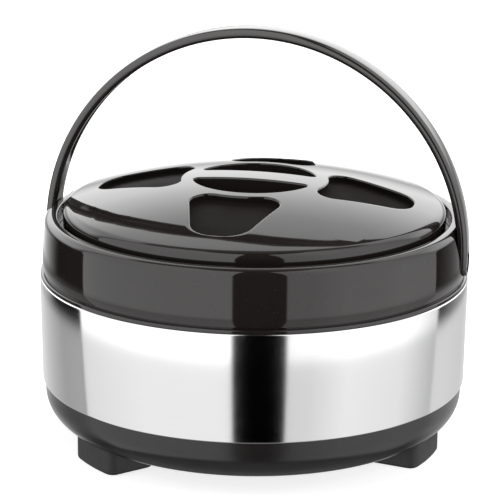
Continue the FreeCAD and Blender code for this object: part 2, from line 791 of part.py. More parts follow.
liner = new_body("lid_liner")
turned(liner, "disc", [
    corner("0", "liner_bottom + liner_rise"),
    corner("liner_radius - liner_rim - liner_sheet / 2", "liner_bottom + liner_rise"),
    corner("liner_radius - liner_rim + liner_rise - liner_sheet / 2", "liner_bottom"),
    corner("liner_radius", "liner_bottom"),
    corner("liner_radius", "liner_bottom + liner_sheet"),
    corner("liner_radius - liner_rim + liner_rise", "liner_bottom + liner_sheet"),
    corner("liner_radius - liner_rim", "liner_bottom + liner_rise + liner_sheet"),
    corner("0", "liner_bottom + liner_rise + liner_sheet"),
])

# Bail: a strap bent to a half circle, with short straight legs that end in
# round eyes, and a shallow channel along its inner face

bail = new_body("handle")
arch = new_sketch(bail, "arch", "XZ_Plane")
eye_bottom = "pivot_level - eye_radius"
draw(arch, [
    corner("-strap_outer", eye_bottom),
    corner("-strap_inner", eye_bottom),
    corner("-strap_inner", "arch_centre", arc="strap_inner", turn=-1),
    corner("0", "arch_centre + strap_inner", arc="strap_inner", turn=-1),
    corner("strap_inner", "arch_centre"),
    corner("strap_inner", eye_bottom),
    corner("strap_outer", eye_bottom),
    corner("strap_outer", "arch_centre", arc="strap_outer"),
    corner("0", "arch_centre + strap_outer", arc="strap_outer"),
    corner("-strap_outer", "arch_centre"),
])
strap = extruded(bail, "strap", arch, "strap_width", both_ways=True)


def eye_edge(edge):
    box = edge.BoundBox
    return box.ZLength < 0.01 and box.YLength < 0.01 and box.ZMax < size("pivot_level")


eyes = rounded(bail, "eyes", strap, eye_edge, "eye_radius - pin_gap")


def long_edge(edge):
    """Edges along the flat front and back of the strap, eyes included."""
    return abs(abs(middle_of(edge).y) - size("strap_width / 2")) < 0.01 and edge.Length > size(
        "arch_lift")


long_rounded = rounded(bail, "edges", eyes, long_edge, "strap_rounding")
channel = new_sketch(bail, "channel", "XZ_Plane")
draw(channel, [
    corner("-(strap_inner - channel_depth) * cos(channel_start)",
           "arch_centre + (strap_inner - channel_depth) * sin(channel_start)",
           arc="strap_inner - channel_depth", turn=-1),
    corner("(strap_inner - channel_depth) * cos(channel_start)",
           "arch_centre + (strap_inner - channel_depth) * sin(channel_start)"),
    corner("(strap_inner + channel_depth) * cos(channel_start)",
           "arch_centre + (strap_inner + channel_depth) * sin(channel_start)",
           arc="strap_inner + channel_depth"),
    corner("-(strap_inner + channel_depth) * cos(channel_start)",
           "arch_centre + (strap_inner + channel_depth) * sin(channel_start)"),
])
extruded(bail, "channel_cut", channel, "channel_width", kind="Pocket", both_ways=True)
at_both_sides(bail, "eye_hole", "strap_inner - strap_thickness", "3 * strap_thickness",
              "pivot_radius + pin_gap")
at_both_sides(bail, "eye_sink", "strap_outer - stud_sink", "strap_thickness",
              "stud_head_radius + running_gap")

# Pivot studs: domed heads sunk in the bail's eyes, shanks pressed in the collar

for number, side in enumerate(("right", "left")):
    stud = new_body("pivot_stud_" + side)
    section = new_sketch(stud, "section", "XY_Plane")
    shank_end = "collar_inner_radius - pivot_boss_length + 2 * running_gap"
    head_base = "strap_outer - stud_sink + assembly_gap"
    head_flat = "%s + stud_head_height - stud_crown" % head_base
    head_top = "%s + stud_head_height" % head_base
    draw(section, [
        corner(shank_end, "0"),
        corner(head_top, "0", arc="(stud_head_radius^2 + stud_crown^2) / (2 * stud_crown)"),
        corner(head_flat, "stud_head_radius"),
        corner(head_base, "stud_head_radius"),
        corner(head_base, "pivot_radius"),
        corner(shank_end, "pivot_radius"),
    ])
    shape = stud.newObject("PartDesign::Revolution", stud.Name + "_turned")
    shape.Profile = section
    shape.ReferenceAxis = (datum(stud, "X_Axis"), [""])
    shape.Angle = 360
    bind(stud, "Placement.Base.z", "pivot_level")
    stud.Placement = Placement(Vector(0, 0, size("pivot_level")),
                               Rotation(Vector(0, 0, 1), 180 * number))

# Check and write every piece

doc.recompute()
for item in doc.Objects:
    if "Invalid" in item.State or "Error" in item.State:
        raise RuntimeError("%s failed: %s" % (item.Name, item.State))
for piece in PIECES:
    if piece.Shape.isNull() or not piece.Shape.isValid():
        raise RuntimeError("%s has no valid solid" % piece.Label)

os.makedirs("parts", exist_ok=True)
for piece in PIECES:
    piece.Shape.exportStep("parts/%s.step" % piece.Label)
    print("%-18s %9.0f mm3, %d solid(s)" % (piece.Label, piece.Shape.Volume, len(piece.Shape.Solids)))
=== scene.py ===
from math import asin, atan2, cos, degrees, hypot, pi, radians, sin, sqrt

import bmesh
import bpy
from mathutils import Matrix, Vector


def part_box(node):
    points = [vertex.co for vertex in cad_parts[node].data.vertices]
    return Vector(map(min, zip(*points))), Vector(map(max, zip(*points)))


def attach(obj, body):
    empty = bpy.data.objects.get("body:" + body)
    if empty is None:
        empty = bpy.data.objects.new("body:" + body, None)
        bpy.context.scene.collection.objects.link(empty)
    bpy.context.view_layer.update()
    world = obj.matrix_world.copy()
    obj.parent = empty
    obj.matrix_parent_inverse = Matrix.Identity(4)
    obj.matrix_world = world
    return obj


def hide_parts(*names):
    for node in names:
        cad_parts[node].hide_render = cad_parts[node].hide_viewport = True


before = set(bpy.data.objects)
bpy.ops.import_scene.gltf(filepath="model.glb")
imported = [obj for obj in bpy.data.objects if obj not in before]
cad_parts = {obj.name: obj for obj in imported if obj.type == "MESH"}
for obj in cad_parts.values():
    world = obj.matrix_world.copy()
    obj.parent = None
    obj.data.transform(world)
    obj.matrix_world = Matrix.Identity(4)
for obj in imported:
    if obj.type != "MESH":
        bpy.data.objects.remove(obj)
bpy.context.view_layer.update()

scene = bpy.context.scene

# Camera: the photograph's view, a little above the rim and turned towards the
# bail's right end. It looks at the centre of the steel band's upper edge, with
# a small shift for the framing.

band_low, band_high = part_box("outer_band")
band_top = band_high.z
band_bottom = band_low.z
photo_turn = radians(13.0)
photo_height = radians(16.2)
photo_roll = radians(0.52)
photo_distance = 1.25

level_right = Vector((cos(photo_turn), sin(photo_turn), 0))
to_camera = Vector((
    sin(photo_turn) * cos(photo_height),
    -cos(photo_turn) * cos(photo_height),
    sin(photo_height),
))
level_up = to_camera.cross(level_right)
camera_right = level_right * cos(photo_roll) + level_up * sin(photo_roll)
camera_up = level_up * cos(photo_roll) - level_right * sin(photo_roll)
camera_data = bpy.data.cameras.new("photo_camera")
camera_data.sensor_width = 36.0
camera_data.lens = 159.84
camera_data.shift_x = -0.0082
camera_data.shift_y = 0.039
camera_data.clip_end = 50.0
camera = bpy.data.objects.new("photo_camera", camera_data)
scene.collection.objects.link(camera)
camera.matrix_world = Matrix.Translation(Vector((0, 0, band_top)) + to_camera * photo_distance) @ Matrix(
    (camera_right, camera_up, to_camera)).transposed().to_4x4()
scene.camera = camera
scene.view_settings.view_transform = "Standard"


# Stage: a pale floor in a white room. A tent of soft boxes and black flags
# stands round the object and shows only in reflections, as in a product
# studio, and three large lamps light the object.

def deselected():
    """Deselect everything, so that the next operator works on its own piece alone."""
    bpy.ops.object.select_all(action="DESELECT")


def plug(tree, target, source):
    """Feed an input with a socket, or set it to a plain number."""
    if isinstance(source, (int, float)):
        target.default_value = source
    else:
        tree.links.new(source, target)


def maths(tree, kind, first, second=0.0, third=0.0):
    """One Math node, with plain numbers or sockets as its inputs."""
    node = tree.nodes.new("ShaderNodeMath")
    node.operation = kind
    for target, source in zip(node.inputs, (first, second, third)):
        plug(tree, target, source)
    return node.outputs[0]


def product_of(tree, *factors):
    """Sockets and plain numbers multiplied with one another."""
    result = factors[0]
    for factor in factors[1:]:
        result = maths(tree, "MULTIPLY", result, factor)
    return result


def brightest_of(tree, *levels):
    """The largest of several sockets or plain numbers."""
    result = levels[0]
    for level in levels[1:]:
        result = maths(tree, "MAXIMUM", result, level)
    return result


def length_of(tree, across, away):
    """Length of a vector with two parts at right angles."""
    squares = maths(tree, "ADD", product_of(tree, across, across), product_of(tree, away, away))
    return maths(tree, "SQRT", squares)


def ramp_of(tree, source, stops):
    """A colour ramp of grey levels: stops are (position, level)."""
    node = tree.nodes.new("ShaderNodeValToRGB")
    elements = node.color_ramp.elements
    while len(elements) > 1:
        elements.remove(elements[-1])
    elements[0].position, level = stops[0]
    elements[0].color = (level, level, level, 1)
    for position, level in stops[1:]:
        elements.new(position).color = (level, level, level, 1)
    plug(tree, node.inputs["Fac"], source)
    return node.outputs["Color"]


def object_axes(tree):
    """Object coordinates, split in three."""
    place = tree.nodes.new("ShaderNodeTexCoord")
    split = tree.nodes.new("ShaderNodeSeparateXYZ")
    tree.links.new(place.outputs["Object"], split.inputs[0])
    return place.outputs["Object"], split.outputs


def empty_material(name):
    """A material with nothing but its output node."""
    material = bpy.data.materials.new(name)
    material.use_nodes = True
    material.node_tree.nodes.clear()
    output = material.node_tree.nodes.new("ShaderNodeOutputMaterial")
    return material, material.node_tree, output


def bearing_from_camera(tree, axes):
    """0 to 1 for one turn clockwise from the camera's side, seen from above."""
    to_right = maths(tree, "ADD", product_of(tree, axes[0], cos(photo_turn)),
                     product_of(tree, axes[1], sin(photo_turn)))
    to_front = maths(tree, "SUBTRACT", product_of(tree, axes[0], sin(photo_turn)),
                     product_of(tree, axes[1], cos(photo_turn)))
    angle = maths(tree, "ARCTAN2", to_right, to_front)
    return maths(tree, "FRACT", maths(tree, "MULTIPLY_ADD", angle, 1 / (2 * pi), 1.0))


def seen_rays(tree):
    """1 for rays from the camera, mirrored rays and rays through glass, else 0."""
    rays = tree.nodes.new("ShaderNodeLightPath").outputs
    return brightest_of(tree, rays["Is Camera Ray"], rays["Is Glossy Ray"], rays["Is Transmission Ray"])


def only_reflected(stage_piece):
    """Show a piece of the stage in reflections and nowhere else."""
    stage_piece.visible_camera = False
    stage_piece.visible_diffuse = False
    stage_piece.visible_transmission = False
    stage_piece.visible_volume_scatter = False
    stage_piece.visible_shadow = False


deselected()
floor_radius = 6.0
bpy.ops.mesh.primitive_circle_add(vertices=96, radius=floor_radius, fill_type="NGON", location=(0, 0, 0))
floor = bpy.context.object
floor.name = "floor"
floor_white, tree, output = empty_material("floor_paper")
place, axes = object_axes(tree)
fibre = tree.nodes.new("ShaderNodeTexNoise")
fibre.inputs["Scale"].default_value = 900.0
tree.links.new(place, fibre.inputs["Vector"])
paper = tree.nodes.new("ShaderNodeBsdfDiffuse")
paper_tone = ramp_of(tree, fibre.outputs["Fac"], [(0.3, 0.84), (0.7, 0.87)])
tree.links.new(paper_tone, paper.inputs["Color"])
lift = tree.nodes.new("ShaderNodeEmission")
away = maths(tree, "DIVIDE", length_of(tree, axes[0], axes[1]), floor_radius)
fill = ramp_of(tree, away, [(0.04, 0.78), (0.12, 0.9), (0.3, 1.1)])
plug(tree, lift.inputs["Strength"], product_of(tree, seen_rays(tree), fill))
both = tree.nodes.new("ShaderNodeAddShader")
tree.links.new(paper.outputs[0], both.inputs[0])
tree.links.new(lift.outputs[0], both.inputs[1])
tree.links.new(both.outputs[0], output.inputs["Surface"])
floor.data.materials.append(floor_white)
floor.visible_glossy = False

# The tent's light depends on the direction alone: its bearing clockwise from the
# camera and its elevation, both in degrees
tent_radius = 5.0
deselected()
bpy.ops.mesh.primitive_uv_sphere_add(segments=64, ring_count=48, radius=tent_radius,
                                     location=(0, 0, 0))
tent = bpy.context.object
tent.name = "studio_tent"
tent_glow, tree, output = empty_material("tent_glow")
place, axes = object_axes(tree)
bearing = bearing_from_camera(tree, axes)
rise = product_of(tree, maths(tree, "ARCSINE", maths(tree, "DIVIDE", axes[2], tent_radius)), 180 / pi)
rise_share = maths(tree, "MULTIPLY_ADD", rise, 1 / 180.0, 0.5)


def at_rise(*stops):
    """Stops of a ramp over the elevation, given in degrees."""
    return [(angle / 180.0 + 0.5, level) for angle, level in stops]


def at_bearing(*stops):
    """Stops of a ramp over the bearing, given in degrees clockwise from the camera."""
    return [((angle % 360) / 360.0, level) for angle, level in stops]


def soft_panel(middle, half_width):
    """1 inside a panel with rounded corners, 0 outside."""
    away = maths(tree, "SUBTRACT", product_of(tree, bearing, 360.0), middle)
    away = maths(tree, "SUBTRACT", maths(tree, "ABSOLUTE", away), half_width - panel_corner)
    above = maths(tree, "SUBTRACT", rise, (panel_low + panel_high) / 2)
    above = maths(tree, "SUBTRACT", maths(tree, "ABSOLUTE", above),
                  (panel_high - panel_low) / 2 - panel_corner)
    past = length_of(tree, maths(tree, "MAXIMUM", away, 0.0), maths(tree, "MAXIMUM", above, 0.0))
    return ramp_of(tree, maths(tree, "DIVIDE", past, 2 * panel_corner), [(0.46, 1.0), (0.54, 0.0)])


# Two large panels beside the camera, with a black gap between them that draws the
# dark stripe down the front. They are dimmer below, where the steel band mirrors
# them, than in the zone that the black collar mirrors.
panel_low, panel_high, panel_corner = -48.0, 75.0, 6.0
both_panels = brightest_of(tree, soft_panel(64.75, 47.75), soft_panel(303.5, 45.5))
panel_fall = ramp_of(tree, bearing, at_bearing(
    (0, 0.76), (30, 0.80), (50, 1.0), (85, 0.92), (112, 0.55), (258, 0.85), (300, 1.0), (349, 1.0)))
panel_share = ramp_of(tree, rise_share, at_rise((-90, 1.4), (-30, 1.15), (-14.8, 1.15), (-13.5, 1.85)))
panels = product_of(tree, both_panels, panel_fall, panel_share)

# Light from behind: one zone for the silhouettes of the collar, one for those of
# the steel band, and a bright wall above the horizon for the dome.
collar_back = ramp_of(tree, bearing, at_bearing(
    (0, 0.0), (113, 0.0), (128, 0.2), (139, 0.4), (150, 0.65), (165, 1.3), (180, 2.1),
    (203, 1.2), (215, 0.8), (228, 0.1), (232, 0.0)))
band_back = ramp_of(tree, bearing, at_bearing(
    (0, 0.0), (111, 0.0), (112, 0.9), (125, 0.88), (150, 0.74), (180, 0.8), (202, 0.84),
    (222, 0.62), (238, 0.46), (256, 0.5), (260, 0.0)))
high_back = ramp_of(tree, bearing, at_bearing(
    (0, 0.0), (100, 0.0), (112, 1.0), (248, 1.0), (260, 0.0)))
collar_share = ramp_of(tree, rise_share, at_rise(
    (-90, 0.0), (-14.8, 0.0), (-13.5, 1.0), (-4, 1.0), (10, 0.0)))
band_share = ramp_of(tree, rise_share, at_rise(
    (-90, 0.0), (-45, 0.0), (-30, 1.0), (-14.8, 1.0), (-13.5, 0.0)))
wall = ramp_of(tree, rise_share, at_rise(
    (-90, 0.0), (-2, 0.0), (10, 2.2), (20, 2.6), (27, 2.4), (38, 1.8), (53, 1.7), (58, 0.3),
    (90, 0.2)))
ground = ramp_of(tree, rise_share, at_rise((-90, 0.3), (-60, 0.3), (-40, 0.0)))
collar_light = product_of(tree, collar_back, collar_share)
band_light = product_of(tree, band_back, band_share)
wall_light = product_of(tree, wall, high_back)
level = brightest_of(tree, wall_light, collar_light, band_light, panels, ground)
glow = tree.nodes.new("ShaderNodeEmission")
plug(tree, glow.inputs["Strength"], level)
tree.links.new(glow.outputs[0], output.inputs["Surface"])
tent.data.materials.append(tent_glow)
only_reflected(tent)


def soft_lamp(name, place, width, power):
    """A square lamp that faces the object and doesn't show in reflections."""
    lamp_data = bpy.data.lights.new(name, "AREA")
    lamp_data.size = width
    lamp_data.energy = power
    lamp = bpy.data.objects.new(name, lamp_data)
    scene.collection.objects.link(lamp)
    aim = Vector((0, 0, band_top)) - Vector(place)
    lamp.matrix_world = Matrix.Translation(place) @ aim.to_track_quat("-Z", "Y").to_matrix().to_4x4()
    lamp.visible_camera = False
    lamp.visible_glossy = False


soft_lamp("top_lamp", (0.1, 0.3, 1.6), 1.4, 14.0)
soft_lamp("left_lamp", (-1.3, -0.9, 0.7), 1.0, 7.0)
soft_lamp("right_lamp", (1.4, -0.6, 0.7), 1.0, 7.0)

world = bpy.data.worlds.new("white_room")
world.use_nodes = True
scene.world = world
tree = world.node_tree
tree.nodes.clear()
room = tree.nodes.new("ShaderNodeBackground")
plug(tree, room.inputs["Strength"], maths(tree, "MULTIPLY_ADD", seen_rays(tree), 0.55, 0.45))
output = tree.nodes.new("ShaderNodeOutputWorld")
tree.links.new(room.outputs[0], output.inputs["Surface"])

# Steel band: one strip of polished stainless sheet, rolled and welded into a
# ring and hemmed inwards at both edges, where it hooks under the collar and
# over the base. The polish leaves faint lines round the band.

millimetre = 0.001
around = 256


def bend(centre, radius, first, last, steps):
    """Points (radius, height) of an arc in a half section, angles in degrees."""
    points = []
    for step in range(steps + 1):
        angle = radians(first + (last - first) * step / steps)
        points.append((centre[0] + radius * cos(angle), centre[1] + radius * sin(angle)))
    return points


def turned(name, outline):
    """Turn a closed half section, given as (radius, height) in millimetres, into a ring."""
    deselected()
    outline = [(across * millimetre, up * millimetre) for across, up in outline]
    across, up = outline[0]
    bpy.ops.mesh.primitive_circle_add(vertices=around, radius=across, location=(0, 0, up))
    piece = bpy.context.object
    piece.name = name
    bpy.ops.object.mode_set(mode="EDIT")
    for next_across, next_up in outline[1:] + outline[:1]:
        bpy.ops.mesh.extrude_edges_move(TRANSFORM_OT_translate={"value": (0, 0, next_up - up)})
        share = next_across / across
        bpy.ops.transform.resize(value=(share, share, 1), center_override=(0, 0, next_up))
        across, up = next_across, next_up
    bpy.ops.mesh.select_all(action="SELECT")
    bpy.ops.mesh.remove_doubles(threshold=0.01 * millimetre)
    bpy.ops.mesh.normals_make_consistent(inside=False)
    bpy.ops.object.mode_set(mode="OBJECT")
    bpy.ops.object.transform_apply(location=True, rotation=True, scale=True)
    bpy.ops.object.shade_smooth_by_angle(angle=radians(32))
    return piece


def finished(piece, body, slot, material, *nodes):
    """Dress a piece, ride it on its body and let it stand for its CAD nodes."""
    piece.data.materials.clear()
    piece.data.materials.append(material)
    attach(piece, body)
    if nodes:
        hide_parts(*nodes)


def effect_group(name, inputs, outputs):
    """An empty shader group with number inputs and outputs."""
    group = bpy.data.node_groups.new(name, "ShaderNodeTree")
    for label, start in inputs:
        socket = group.interface.new_socket(name=label, in_out="INPUT", socket_type="NodeSocketFloat")
        socket.default_value = start
    for label in outputs:
        group.interface.new_socket(name=label, in_out="OUTPUT", socket_type="NodeSocketFloat")
    source = group.nodes.new("NodeGroupInput")
    target = group.nodes.new("NodeGroupOutput")
    return group, source.outputs, target.inputs


def noise_of(tree, vector, scale, detail=2.0, roughness=0.5):
    """Grey noise at a vector, from 0 to 1."""
    node = tree.nodes.new("ShaderNodeTexNoise")
    plug(tree, node.inputs["Scale"], scale)
    node.inputs["Detail"].default_value = detail
    node.inputs["Roughness"].default_value = roughness
    tree.links.new(vector, node.inputs["Vector"])
    return node.outputs["Fac"]


# Turned lines: fine rings round the pot's axis, broken up along their length
turned_lines, inputs, outputs = effect_group(
    "turned_lines", [("Fineness", 9000.0), ("Across", 0.0)], ["Lines"])
place, axes = object_axes(turned_lines)
reach = length_of(turned_lines, axes[0], axes[1])
course = maths(turned_lines, "ADD", axes[2], product_of(turned_lines, reach, inputs["Across"]))
joined = turned_lines.nodes.new("ShaderNodeCombineXYZ")
plug(turned_lines, joined.inputs[0], product_of(turned_lines, axes[0], 6.0))
plug(turned_lines, joined.inputs[1], product_of(turned_lines, axes[1], 6.0))
plug(turned_lines, joined.inputs[2], product_of(turned_lines, course, inputs["Fineness"]))
plug(turned_lines, outputs["Lines"], noise_of(turned_lines, joined.outputs[0], 1.0, 3.0, 0.6))

# Handling: soft smears and a few dust specks, as on any object that was wiped
handling, inputs, outputs = effect_group(
    "handling", [("Smear size", 22.0), ("Dust size", 900.0)], ["Smears", "Dust"])
place, axes = object_axes(handling)
smears = noise_of(handling, place, inputs["Smear size"], 4.0, 0.6)
smears = ramp_of(handling, smears, [(0.42, 0.0), (0.68, 1.0)])
specks = noise_of(handling, place, inputs["Dust size"], 1.0)
specks = ramp_of(handling, specks, [(0.72, 0.0), (0.78, 1.0)])
plug(handling, outputs["Smears"], smears)
plug(handling, outputs["Dust"], specks)


def placed(tree, group, **values):
    """Put a shader group in a material, with its own values."""
    node = tree.nodes.new("ShaderNodeGroup")
    node.node_tree = group
    for label, number in values.items():
        node.inputs[label.replace("_", " ")].default_value = number
    return node.outputs


def blended(tree, share, first, second):
    """Mix two colours by a share from 0 to 1. Either is a socket or a plain colour."""
    node = tree.nodes.new("ShaderNodeMix")
    node.data_type = "RGBA"
    plug(tree, node.inputs["Factor"], share)
    colour_a, colour_b, result = node.inputs[6], node.inputs[7], node.outputs[2]
    for target, colour in ((colour_a, first), (colour_b, second)):
        if isinstance(colour, tuple):
            target.default_value = colour
        else:
            tree.links.new(colour, target)
    return result


def between(tree, share, low, high):
    """A number that runs from low to high as the share runs from 0 to 1."""
    return maths(tree, "MULTIPLY_ADD", share, high - low, low)


def bumped(tree, height, strength, distance):
    """A normal bent by a height, whose full range is a distance in metres."""
    node = tree.nodes.new("ShaderNodeBump")
    node.inputs["Strength"].default_value = strength
    node.inputs["Distance"].default_value = distance
    plug(tree, node.inputs["Height"], height)
    return node.outputs["Normal"]


def principled(tree, output):
    """The Principled shader, wired to a material's output."""
    shader = tree.nodes.new("ShaderNodeBsdfPrincipled")
    tree.links.new(shader.outputs[0], output.inputs["Surface"])
    return shader


def steel(name, tone, across, smooth, rough, bump):
    """Stainless sheet with lines round the pot and light smears."""
    material, tree, output = empty_material(name)
    shader = principled(tree, output)
    shader.inputs["Metallic"].default_value = 1.0
    lines = placed(tree, turned_lines, Across=across)["Lines"]
    marks = placed(tree, handling, Smear_size=14.0)
    dull = tone * 0.8
    share = product_of(tree, lines, 0.35)
    colour = blended(tree, share, (tone, tone, tone * 1.01, 1), (dull, dull, tone * 0.81, 1))
    tree.links.new(colour, shader.inputs["Base Color"])
    shine = maths(tree, "MULTIPLY_ADD", marks["Smears"], 0.03, between(tree, lines, smooth, rough))
    plug(tree, shader.inputs["Roughness"], shine)
    plug(tree, shader.inputs["Normal"], bumped(tree, lines, bump, 0.00002))
    return material


band_radius = band_high.x / millimetre
band_taper = 0.7
band_foot = band_radius - band_taper
band_hem = 3.2
band_mouth = band_radius - band_hem + 0.4
band_sheet = 0.6
band_round = 1.2
top = band_top / millimetre
bottom = band_bottom / millimetre
band_outline = [(band_foot - band_hem, bottom)]
band_outline += bend((band_foot - band_round, bottom + band_round), band_round, -90, 0, 6)
band_outline += bend((band_radius - band_round, top - band_round), band_round, 0, 90, 6)
band_outline += [
    (band_mouth, top),
    (band_mouth, top - band_sheet),
    (band_radius - band_round, top - band_sheet),
    (band_radius - band_sheet, top - band_round),
    (band_foot - band_sheet, bottom + band_round),
    (band_foot - band_round, bottom + band_sheet),
    (band_foot - band_hem, bottom + band_sheet),
]
band = turned("steel_band", band_outline)
band_steel = steel("band_steel", tone=0.74, across=0.0, smooth=0.05, rough=0.13, bump=0.12)
finished(band, "pot", "polished_steel", band_steel, "outer_band")

# Base: a shallow cup moulded in satin black, whose spigot stands up inside the
# band. Its underside carries the feet and the plug of the foam hole.


def moulded_black(name, tone, shine, dust_tone, peel=0.0):
    """Black moulded plastic: sheen that varies with smears, specks of dust, and a
    skin that is slightly wavy or, with more peel, finely pebbled."""
    wavy, pebbled = 55.0, 2600.0
    material, tree, output = empty_material(name)
    shader = principled(tree, output)
    place, axes = object_axes(tree)
    marks = placed(tree, handling, Smear_size=18.0)
    mottled = noise_of(tree, place, 60.0, 3.0)
    darker = tuple(level * 0.6 for level in tone)
    colour = blended(tree, product_of(tree, mottled, 0.5), (*tone, 1), (*darker, 1))
    dust = product_of(tree, marks["Dust"], 0.25)
    dusty = blended(tree, dust, colour, (dust_tone, dust_tone, dust_tone, 1))
    tree.links.new(dusty, shader.inputs["Base Color"])
    sheen = maths(tree, "MULTIPLY_ADD", marks["Smears"], 0.35 * shine[0],
                  between(tree, mottled, shine[0], shine[1]))
    plug(tree, shader.inputs["Roughness"], sheen)
    shader.inputs["IOR"].default_value = 1.52
    skin = noise_of(tree, place, wavy if peel < 0.05 else pebbled)
    plug(tree, shader.inputs["Normal"], bumped(tree, skin, max(peel, 0.03), 0.00006))
    return material


base_low, base_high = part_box("base_cup")
base_radius = base_high.x / millimetre
base_floor = base_low.z / millimetre
base_round = 18.0
base_wall = 2.6
assembly_gap = 0.2
spigot_chamfer = 0.6
spigot = band_foot - band_hem - assembly_gap
spigot_top = base_high.z / millimetre
filler_hole = 8.0
base_outline = [(filler_hole, base_floor)]
base_outline += bend((base_radius - base_round, base_floor + base_round), base_round, -90, 0, 24)
base_outline += [
    (base_radius, bottom),
    (spigot, bottom),
    (spigot, spigot_top - spigot_chamfer),
    (spigot - spigot_chamfer, spigot_top),
    (spigot - base_wall, spigot_top),
    (spigot - base_wall, bottom - base_wall),
    (base_radius - base_wall, bottom - 2 * base_wall),
]
inner_round = base_round - base_wall
base_outline += bend((base_radius - base_round, base_floor + base_round), inner_round, 0, -90, 12)
base_outline += [(filler_hole, base_floor + base_wall)]
base = turned("base_cup_shell", base_outline)
base_black = moulded_black("base_black", tone=(0.016, 0.014, 0.0135), shine=(0.17, 0.22),
                           dust_tone=0.12, peel=0.06)
finished(base, "pot", "satin_plastic", base_black, "base_cup")

# Feet: three solid blocks of duller black plastic whose tops follow the base.
# Each is held by one screw from below. The blocks stay as the frame has them.

foot_black = moulded_black("foot_black", tone=(0.014, 0.014, 0.014), shine=(0.50, 0.62),
                           dust_tone=0.08, peel=0.25)
plug_black = moulded_black("plug_black", tone=(0.03, 0.03, 0.03), shine=(0.36, 0.46),
                           dust_tone=0.10, peel=0.15)


def dressed(node, material):
    """Give a CAD node its finish."""
    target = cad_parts[node]
    target.data.materials.clear()
    target.data.materials.append(material)


for node in ("foot_front_left", "foot_right", "foot_back"):
    dressed(node, foot_black)
dressed("filler_plug", plug_black)
screw_steel = steel("screw_steel", tone=0.55, across=1.0, smooth=0.25, rough=0.4, bump=0.2)
dressed("foot_screws", screw_steel)

# Collar: the black gloss ring that closes the casing over the band. It has a
# rounded foot on the band, a shadow groove, a slightly tapering wall with a
# rounded shoulder, and two pockets in which the bail's ends swing.


def woven(name, patches):
    """A mesh of quads from patches. A patch is a list of loops of equally many
    points in millimetres, with True where its loops close on themselves."""
    same_place, no_length = 0.02, 0.001
    build = bmesh.new()
    for loops, closed in patches:
        rows = [[build.verts.new(Vector(point) * millimetre) for point in loop] for loop in loops]
        for row, next_row in zip(rows, rows[1:]):
            count = len(row)
            for spot in range(count if closed else count - 1):
                after = (spot + 1) % count
                build.faces.new((row[spot], row[after], next_row[after], next_row[spot]))
    bmesh.ops.remove_doubles(build, verts=build.verts, dist=same_place * millimetre)
    bmesh.ops.dissolve_degenerate(build, edges=build.edges, dist=no_length * millimetre)
    mesh = bpy.data.meshes.new(name)
    build.to_mesh(mesh)
    build.free()
    piece = bpy.data.objects.new(name, mesh)
    scene.collection.objects.link(piece)
    return piece


def tidied(piece, holes=True):
    """Close open ends, point faces outwards and leave edit mode."""
    deselected()
    bpy.context.view_layer.objects.active = piece
    piece.select_set(True)
    bpy.ops.object.mode_set(mode="EDIT")
    bpy.ops.mesh.select_all(action="DESELECT")
    if holes:
        bpy.ops.mesh.select_mode(type="EDGE")
        bpy.ops.mesh.select_non_manifold(extend=False)
        bpy.ops.mesh.fill_holes(sides=0)
    bpy.ops.mesh.select_all(action="SELECT")
    bpy.ops.mesh.normals_make_consistent(inside=False)
    bpy.ops.object.mode_set(mode="OBJECT")


def carved(piece, tool):
    """Cut a tool's shape out of a piece and drop the tool."""
    deselected()
    bpy.context.view_layer.objects.active = piece
    piece.select_set(True)
    cut = piece.modifiers.new("carve", "BOOLEAN")
    cut.operation = "DIFFERENCE"
    cut.solver = "EXACT"
    cut.object = tool
    bpy.ops.object.modifier_apply(modifier="carve")
    bpy.data.objects.remove(tool)


collar_low, collar_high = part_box("collar")
rim = collar_high.z / millimetre
collar_foot = collar_high.x / millimetre
foot_top = top + 2.0
foot_round = 0.9
groove_top = foot_top + 0.8
groove_depth = 0.9
collar_base = 118.5
collar_neck = 117.0
collar_inside = 112.3
shoulder, shoulder_start = 4.4, 8
rim_round = 0.9
seat, seat_wall, seat_fillet = rim - 9.5, 2.5, 0.3
bore = 109.8
play = 0.4
bowl_radius = 99.5
bowl_sheet = 0.7
seat_hole = bowl_radius + bowl_sheet + play
collar_spigot = 117.0
collar_spigot_inside = 114.4
collar_spigot_end = top - 10.0
lean = (collar_base - collar_neck) / (rim - groove_top)
shoulder_rise = shoulder * (1 + lean)
wall_end = collar_base - lean * (rim - shoulder_rise - groove_top)
bulge = 0.3
tuck, tuck_height = 0.55, 4.0
collar_outline = [
    (collar_spigot_inside, collar_spigot_end),
    (collar_spigot - spigot_chamfer, collar_spigot_end),
    (collar_spigot, collar_spigot_end + spigot_chamfer),
    (collar_spigot, top),
    (collar_foot, top),
]
collar_outline += bend((collar_foot - foot_round, foot_top - foot_round), foot_round, 0, 90, 6)
collar_outline += [(collar_base - groove_depth, foot_top), (collar_base - groove_depth, groove_top)]
wall_steps = 28
wall_height = rim - shoulder_rise - groove_top
for step in range(wall_steps + 1):
    share = step / wall_steps
    up = wall_height * share
    tucked = tuck * max(0.0, 1 - up / tuck_height) ** 2
    across = collar_base - lean * up + 4 * bulge * share * (1 - share) - tucked
    collar_outline.append((across, groove_top + up))
collar_outline += bend((wall_end - shoulder, rim - shoulder), shoulder, shoulder_start, 90, 12)
collar_outline += bend((bore + rim_round, rim - rim_round), rim_round, 90, 180, 6)
collar_outline += [
    (bore, seat + seat_fillet),
    (bore - seat_fillet, seat),
    (seat_hole, seat),
    (seat_hole, seat - seat_wall),
    (collar_inside, seat - seat_wall),
    (collar_inside, groove_top),
    (collar_spigot_inside, top),
]
collar = turned("collar_ring", collar_outline)

